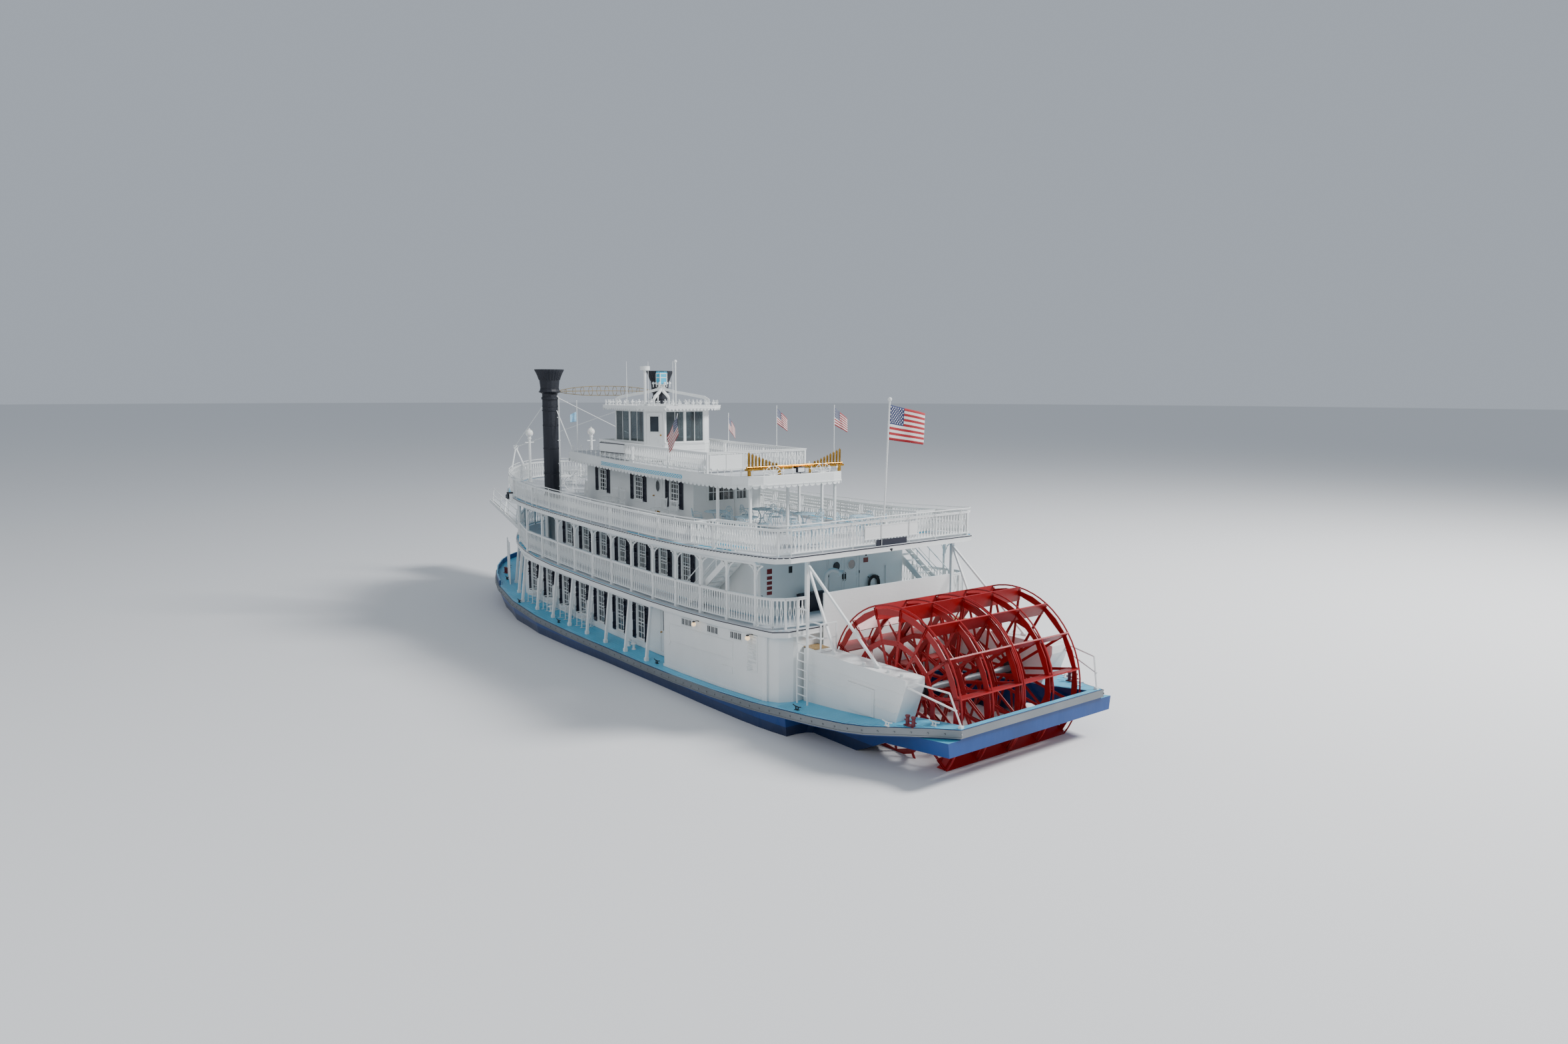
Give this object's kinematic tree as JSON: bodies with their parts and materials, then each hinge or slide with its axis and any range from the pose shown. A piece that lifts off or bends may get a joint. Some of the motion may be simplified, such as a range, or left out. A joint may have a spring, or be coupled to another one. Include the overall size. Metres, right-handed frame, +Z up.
{
  "type": "sternwheel paddle boat",
  "caption": "Shallow wooden-style river boat with a stern paddlewheel, tiered decks with balustrades, twin flared chimneys, a pilothouse and a bow landing stage.",
  "frame": {"origin": "on the centreline at the waterline, amidships", "axes": "+X towards the bow, +Y to port, +Z up"},
  "size_m": [39.559, 10.75, 13.4732],
  "materials": {
    "white_paint": "semi-gloss white enamel",
    "deck_cyan": "satin light-blue deck paint",
    "hull_blue": "semi-gloss royal-blue hull paint",
    "rail_grey": "grey weathered steel",
    "wheel_red": "satin red paint, weathered at the buckets",
    "stack_black": "satin black-navy paint",
    "brass": "polished brass, slightly aged",
    "steel": "bare steel",
    "flag_cloth": "woven flag cloth in coloured stripes"
  },
  "bodies": {
    "boat": {"hull": "hull_blue", "rub_rail": "rail_grey", "wheel_bearing_port": "wheel_red", "wheel_bearing_starboard": "wheel_red", "timber_box_port": "white_paint", "timber_box_starboard": "white_paint", "brace_frame_port": "white_paint", "brace_frame_starboard": "white_paint", "splash_board": "white_paint", "fantail_rail_port": "white_paint", "fantail_rail_starboard": "white_paint", "stern_ladder": "white_paint", "deckhouse": "white_paint", "engine": "steel", "colonnade_1_port": "white_paint", "colonnade_1_starboard": "white_paint", "deck_2": "deck_cyan", "cabin_2": "white_paint", "colonnade_2_port": "white_paint", "colonnade_2_starboard": "white_paint", "stair_2_port": "white_paint", "stair_2_starboard": "white_paint", "deck_3": "deck_cyan", "balustrade_3": "white_paint", "texas": "white_paint", "flagpole": "white_paint", "lamp_post_1": "white_paint", "lamp_post_2": "white_paint", "roof": "deck_cyan", "pergola_posts": "white_paint", "balustrade_4": "white_paint", "calliope": "brass", "pilothouse": "white_paint", "pilothouse_roof": "deck_cyan", "mast": "white_paint", "radar_post": "white_paint", "chimney_port": "stack_black", "chimney_starboard": "stack_black", "stage_bracket": "rail_grey", "stage_guy_port": "steel", "stage_guy_starboard": "steel", "flag_main": "flag_cloth", "flag_1": "flag_cloth", "flag_2": "flag_cloth", "flag_3": "flag_cloth", "flag_4": "flag_cloth"},
    "sternwheel": {"wheel_shaft": "steel", "wheel_port": "wheel_red", "wheel_starboard": "wheel_red"},
    "rudder_port": {"rudder_port": "rail_grey"},
    "rudder_starboard": {"rudder_starboard": "rail_grey"},
    "stage": {"landing_stage": "white_paint", "stage_a_frame": "white_paint"},
    "aft_door_port": {"aft_door_port": "white_paint"},
    "aft_door_starboard": {"aft_door_starboard": "white_paint"},
    "texas_door_port": {"texas_door_port": "white_paint"},
    "texas_door_starboard": {"texas_door_starboard": "white_paint"},
    "deckhouse_door_port": {"deckhouse_door_port": "white_paint"},
    "deckhouse_door_starboard": {"deckhouse_door_starboard": "white_paint"},
    "pilothouse_door": {"pilothouse_door": "white_paint"}
  },
  "joints": [
    {"name": "wheel_turn", "type": "hinge", "parent": "boat", "child": "sternwheel", "pos_m": [-14.95, 0, 1.68], "axis": [0, 1, 0], "continuous": true},
    {"name": "rudder_port_turn", "type": "hinge", "parent": "boat", "child": "rudder_port", "pos_m": [-12.1, 1.4, -0.9], "axis": [0, 0, 1], "range_deg": [-40, 40]},
    {"name": "rudder_starboard_turn", "type": "hinge", "parent": "boat", "child": "rudder_starboard", "pos_m": [-12.1, -1.4, -0.9], "axis": [0, 0, 1], "range_deg": [-40, 40]},
    {"name": "stage_lower", "type": "hinge", "parent": "boat", "child": "stage", "pos_m": [11.2138, 0, 1.5319], "axis": [0, 1, 0], "range_deg": [0, 11]},
    {"name": "aft_door_port_swing", "type": "hinge", "parent": "boat", "child": "aft_door_port", "pos_m": [-8.9443, 0.319, 4.2], "axis": [0, 0, 1], "range_deg": [-95, 0]},
    {"name": "aft_door_starboard_swing", "type": "hinge", "parent": "boat", "child": "aft_door_starboard", "pos_m": [-8.9443, -1.159, 4.2], "axis": [0, 0, 1], "range_deg": [0, 95]},
    {"name": "texas_door_port_swing", "type": "hinge", "parent": "boat", "child": "texas_door_port", "pos_m": [0.456, 1.7143, 6.5], "axis": [0, 0, 1], "range_deg": [0, 95]},
    {"name": "texas_door_starboard_swing", "type": "hinge", "parent": "boat", "child": "texas_door_starboard", "pos_m": [0.456, -1.7143, 6.5], "axis": [0, 0, 1], "range_deg": [-95, 0]},
    {"name": "deckhouse_door_port_swing", "type": "hinge", "parent": "boat", "child": "deckhouse_door_port", "pos_m": [-3.894, 3.8757, 1.6], "axis": [0, 0, 1], "range_deg": [-95, 0]},
    {"name": "deckhouse_door_starboard_swing", "type": "hinge", "parent": "boat", "child": "deckhouse_door_starboard", "pos_m": [-3.894, -3.8757, 1.6], "axis": [0, 0, 1], "range_deg": [0, 95]},
    {"name": "pilothouse_door_swing", "type": "hinge", "parent": "boat", "child": "pilothouse_door", "pos_m": [1.9202, 1.6154, 9], "axis": [0, 0, 1], "range_deg": [-95, 0]}
  ],
  "couplings": [
    {"joint": "rudder_starboard_turn", "follows": "rudder_port_turn", "ratio": 1}
  ]
}
